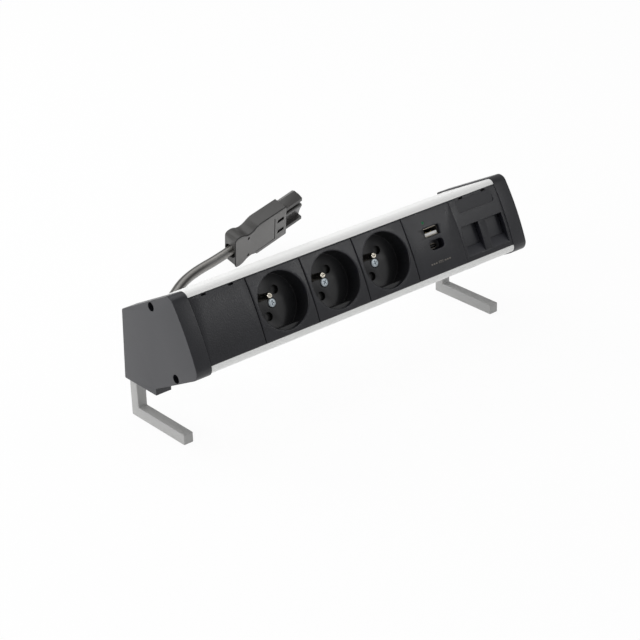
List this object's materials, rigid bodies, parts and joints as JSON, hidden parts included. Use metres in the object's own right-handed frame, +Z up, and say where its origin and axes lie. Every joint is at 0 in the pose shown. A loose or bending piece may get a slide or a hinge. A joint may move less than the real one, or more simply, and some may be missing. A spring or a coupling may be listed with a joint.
{
  "type": "desktop power module",
  "caption": "Slanted desktop power strip on two L feet: blank plate, earthed sockets, USB charger, data outlets with dust covers, and a short lead to a three-pole connector.",
  "frame": {"origin": "on the table, midway between the end caps and midway between the front and the back of the body, cord and connector not counted", "axes": "+X along the profile to the right seen from the front, +Y to the back, +Z up"},
  "size_m": [0.294, 0.2312, 0.1071],
  "materials": {
    "profile_white": "silver-white anodised, satin",
    "cap_grey": "dark grey moulded, fine texture",
    "screw_black": "black coated steel",
    "foot_metal": "silver-grey powder coat, satin",
    "zinc": "bright zinc plated",
    "front_black": "charcoal black, fine texture",
    "inner_plastic": "black moulded",
    "shutter_black": "black moulded",
    "cover_black": "black moulded",
    "label_cover": "dark clear, glossy",
    "pin_metal": "nickel plated brass",
    "brass": "plain",
    "board_green": "circuit board lacquer",
    "transformer": "wound core with tape",
    "port_shell": "bright sheet metal",
    "tongue_white": "white moulded",
    "lamp_green": "clear green light pipe",
    "wire_brown": "smooth insulation",
    "wire_blue": "smooth insulation",
    "wire_green": "smooth insulation, yellow stripe",
    "gland_black": "moulded nylon",
    "cord_grey": "smooth dark grey sheath",
    "connector_black": "dark grey moulded"
  },
  "bodies": {
    "base": {"profile_extrusion": "profile_white", "end_cap_left": "cap_grey", "end_cap_right": "cap_grey", "end_cap_screws": "screw_black", "foot_left": "foot_metal", "foot_right": "foot_metal", "foot_studs": "zinc", "blank_plate": "front_black", "usb_front": "front_black", "usb_housing": "inner_plastic", "usb_circuit_board": "board_green", "usb_transformer": "transformer", "usb_a_shell": "port_shell", "usb_a_tongue": "tongue_white", "usb_c_shell": "port_shell", "usb_c_tongue": "inner_plastic", "usb_light_pipe": "lamp_green", "data_front": "front_black", "data_label_cover": "label_cover", "data_frame": "inner_plastic", "wire_live": "wire_brown", "wire_neutral": "wire_blue", "wire_earth": "wire_green", "terminal_block": "inner_plastic", "cord_gland": "gland_black", "gland_lock_nut": "gland_black", "supply_cord": "cord_grey", "connector_housing": "connector_black", "connector_insert": "connector_black", "connector_pins": "brass", "socket_1_front": "front_black", "socket_1_base": "inner_plastic", "socket_1_earth_pin": "pin_metal", "socket_1_screw": "zinc", "socket_1_contacts": "brass", "socket_2_front": "front_black", "socket_2_base": "inner_plastic", "socket_2_earth_pin": "pin_metal", "socket_2_screw": "zinc", "socket_2_contacts": "brass", "socket_3_front": "front_black", "socket_3_base": "inner_plastic", "socket_3_earth_pin": "pin_metal", "socket_3_screw": "zinc", "socket_3_contacts": "brass"},
    "shutter_1": {"socket_1_shutter": "shutter_black"},
    "shutter_2": {"socket_2_shutter": "shutter_black"},
    "shutter_3": {"socket_3_shutter": "shutter_black"},
    "cover_left": {"data_cover_left": "cover_black"},
    "cover_right": {"data_cover_right": "cover_black"}
  },
  "joints": [
    {"name": "shutter_1_slide", "type": "slide", "parent": "base", "child": "shutter_1", "axis": [0.8192, -0.264, -0.5092], "range_m": [0, 0.0072], "stiffness_N_per_m": 60, "springref_m": -0.003},
    {"name": "shutter_2_slide", "type": "slide", "parent": "base", "child": "shutter_2", "axis": [0.8192, -0.264, -0.5092], "range_m": [0, 0.0072], "stiffness_N_per_m": 60, "springref_m": -0.003},
    {"name": "shutter_3_slide", "type": "slide", "parent": "base", "child": "shutter_3", "axis": [0.8192, -0.264, -0.5092], "range_m": [0, 0.0072], "stiffness_N_per_m": 60, "springref_m": -0.003},
    {"name": "cover_left_slide", "type": "slide", "parent": "base", "child": "cover_left", "axis": [0, -0.4602, -0.8878], "range_m": [0, 0.0105], "stiffness_N_per_m": 50, "springref_m": -0.003},
    {"name": "cover_right_slide", "type": "slide", "parent": "base", "child": "cover_right", "axis": [0, -0.4602, -0.8878], "range_m": [0, 0.0105], "stiffness_N_per_m": 50, "springref_m": -0.003}
  ]
}
